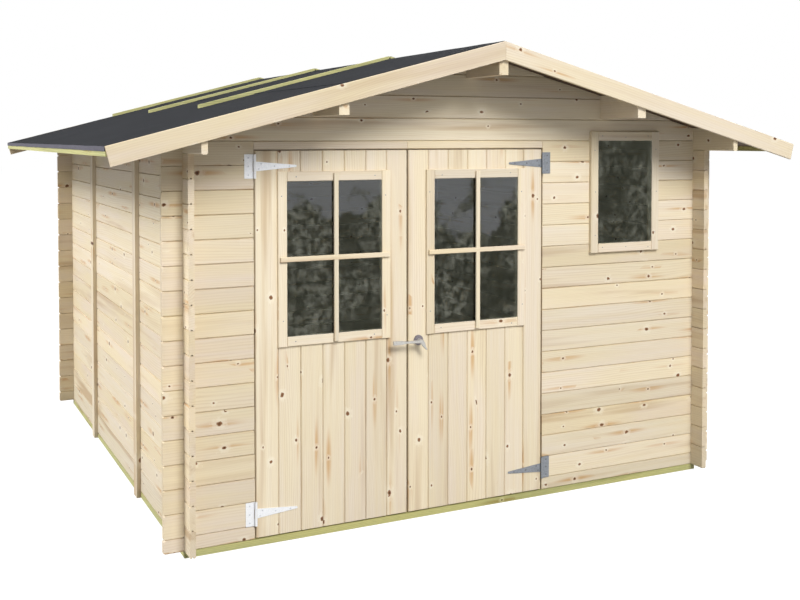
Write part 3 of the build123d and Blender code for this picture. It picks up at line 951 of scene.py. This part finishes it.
# Stage and light
WHITE = (1, 1, 1, 1)
FLOOR_REACH = 60.0
FLOOR_DROP = 0.002
FLOOR_GREY = (0.28, 0.28, 0.28, 1)
FLOOR_GLOW = 0.9
WORLD_LIGHT = 0.36
LAMP_TARGET = Vector((0, 0, 1.0))

# Place, size and power of each lamp
LAMPS = {
    "front": ((1.2, -15.7, 13.0), 8.0, 3180),
    "left": ((-14.2, 1.5, 12.2), 8.0, 2800),
    "back": ((12.0, 13.0, 4.2), 6.0, 1400),
}

# A glowing card in front of the shed, a painted reflection of foliage below and sky above for the panes to
# mirror, darker on the side that the small window mirrors
CARD_Y = -6.0
CARD_X = (-3, 12)
CARD_Z = (-0.6, 5)
CARD_GLOW = 1.6
CARD_PAINTED_FOLIAGE = (0.16, 0.17, 0.13, 1)
CARD_PAINTED_LEAF_LIGHT = (1.0, 1.0, 0.84, 1)
CARD_PAINTED_SKY = (0.76, 0.77, 0.8, 1)
WINDOW_SIDE = (3.6, 4.4)
WINDOW_SHADE = 0.7

# The lumpy border between the card's mottled foot of painted foliage and its plain upper part of painted
# sky, raised on the window's side
BORDER_LUMPS = 2.9
BORDER_WIDTH = (-0.3, -0.1)
BORDER_RISE = 1.6


def stage_sheet(name, corners, material):
    """A flat sheet of four corners."""
    mesh = bpy.data.meshes.new(name)
    mesh.from_pydata(corners, [], [(0, 1, 2, 3)])
    mesh.materials.append(material)
    sheet = bpy.data.objects.new(name, mesh)
    bpy.context.scene.collection.objects.link(sheet)
    return sheet


def background_rays(g):
    """1 where the camera sees the stage, straight or by glass and metal, and 0 where it lights wood."""
    rays = g.node("LightPath").outputs
    seen = g.math("MAXIMUM", rays["Is Camera Ray"], rays["Is Glossy Ray"])
    seen = g.math("MAXIMUM", seen, rays["Is Transmission Ray"])
    return g.math("MULTIPLY", seen, g.math("LESS_THAN", rays["Diffuse Depth"], 0.5))


def stage_floor():
    """A pale floor that looks white and keeps the shed's shadow."""
    g = Graph("floor_white")
    pale = g.node("BsdfDiffuse", {"Color": FLOOR_GREY})
    strength = g.math("MULTIPLY", background_rays(g), FLOOR_GLOW)
    glow = g.node("Emission", {"Color": WHITE, "Strength": strength})
    material = g.finish(g.node("AddShader", {0: pale, 1: glow}))
    signs = [(-1, -1), (1, -1), (1, 1), (-1, 1)]
    corners = [(x * FLOOR_REACH, y * FLOOR_REACH, -FLOOR_DROP) for x, y in signs]
    floor = stage_sheet("stage_floor", corners, material)


def reflection_card():
    """A mottled glowing card that only reflections see: a painted reflection of foliage and sky for the
    panes to mirror.
    """
    g = Graph("mottled_card")
    place = g.place()
    x, _, z = g.parts(place)
    lumps = g.noise(place, 1.5, 8.0, 0.62)
    specks = g.noise(place, 13.0, 8.0, 0.7)
    patches = g.noise(place, 2.6, 5.0, 0.6)
    edge = g.math("ADD", z, g.math("MULTIPLY", lumps, -BORDER_LUMPS))
    edge = g.math("SUBTRACT", edge, g.smooth(x, *WINDOW_SIDE, 0.0, BORDER_RISE))
    upper = g.smooth(edge, *BORDER_WIDTH)
    # Pale specks in patches: the painted reflection of lit leaves
    light = g.math("MULTIPLY", g.smooth(specks, 0.4, 0.66), g.smooth(patches, 0.4, 0.56, 0.2, 1.0))
    light = g.math("MULTIPLY", light, g.smooth(x, *WINDOW_SIDE, 1.0, WINDOW_SHADE))
    tint = g.mix(upper, g.mix(light, CARD_PAINTED_FOLIAGE, CARD_PAINTED_LEAF_LIGHT), CARD_PAINTED_SKY)
    glow = g.node("Emission", {"Color": tint, "Strength": CARD_GLOW})

    # Rays straight through a pane pass the card, and those mirrored within it see the card
    rays = g.node("LightPath").outputs
    straight = g.math("LESS_THAN", rays["Glossy Depth"], 0.5)
    through = g.math("MULTIPLY", rays["Is Transmission Ray"], straight)
    material = g.finish(g.node("MixShader", {0: through, 1: glow, 2: g.node("BsdfTransparent")}))
    (left, right), (bottom, top) = CARD_X, CARD_Z
    corners = [(left, CARD_Y, bottom), (right, CARD_Y, bottom), (right, CARD_Y, top), (left, CARD_Y, top)]
    card = stage_sheet("mottled_card", corners, material)
    card.visible_camera = False
    card.visible_diffuse = False
    card.visible_shadow = False


def area_light(name, place, size, power):
    """A round soft lamp that looks at the middle of the shed."""
    lamp = bpy.data.lights.new(name, "AREA")
    lamp.shape = "DISK"
    lamp.size = size
    lamp.energy = power
    item = bpy.data.objects.new(name, lamp)
    item.location = place
    item.rotation_mode = "QUATERNION"
    item.rotation_quaternion = (LAMP_TARGET - Vector(place)).to_track_quat("-Z", "Y")
    bpy.context.scene.collection.objects.link(item)


def world_light():
    """Even light from all round, white where the camera sees it."""
    g = Graph("studio", world=True)
    strength = g.math("MULTIPLY_ADD", background_rays(g), 1.0 - WORLD_LIGHT, WORLD_LIGHT)
    bpy.context.scene.world = g.finish(g.node("Background", {"Color": WHITE, "Strength": strength}))


# Camera, as fitted to the picture
IMAGE_WIDTH = 800
IMAGE_HEIGHT = 600
FOCAL_PIXELS = 1055.48
AXIS_PIXEL = (399.97, 170.04)
CAMERA_PLACE = Vector((-2.67872, -6.22403, 1.89804))
CAMERA_YAW = 0.45447
CAMERA_PITCH = -0.02998
SENSOR_WIDTH = 36.0


def photo_camera():
    """A camera with its axis off the middle of the image."""
    data = bpy.data.cameras.new("photo_view")
    data.sensor_fit = "HORIZONTAL"
    data.sensor_width = SENSOR_WIDTH
    data.lens = FOCAL_PIXELS / IMAGE_WIDTH * SENSOR_WIDTH
    data.shift_x = (IMAGE_WIDTH / 2 - AXIS_PIXEL[0]) / IMAGE_WIDTH
    data.shift_y = (AXIS_PIXEL[1] - IMAGE_HEIGHT / 2) / IMAGE_WIDTH
    camera = bpy.data.objects.new("photo_view", data)
    level = math.cos(CAMERA_PITCH)
    ahead = Vector((math.sin(CAMERA_YAW) * level, math.cos(CAMERA_YAW) * level, math.sin(CAMERA_PITCH)))
    right = Vector((math.cos(CAMERA_YAW), -math.sin(CAMERA_YAW), 0))
    up = right.cross(ahead)
    turn = Matrix((right, up, -ahead)).transposed().to_4x4()
    camera.matrix_world = Matrix.Translation(CAMERA_PLACE) @ turn
    bpy.context.scene.collection.objects.link(camera)
    bpy.context.scene.camera = camera


stage_floor()
reflection_card()
for name, (place, size, power) in LAMPS.items():
    area_light(name, place, size, power)
world_light()
photo_camera()
bpy.context.scene.view_settings.view_transform = "Standard"
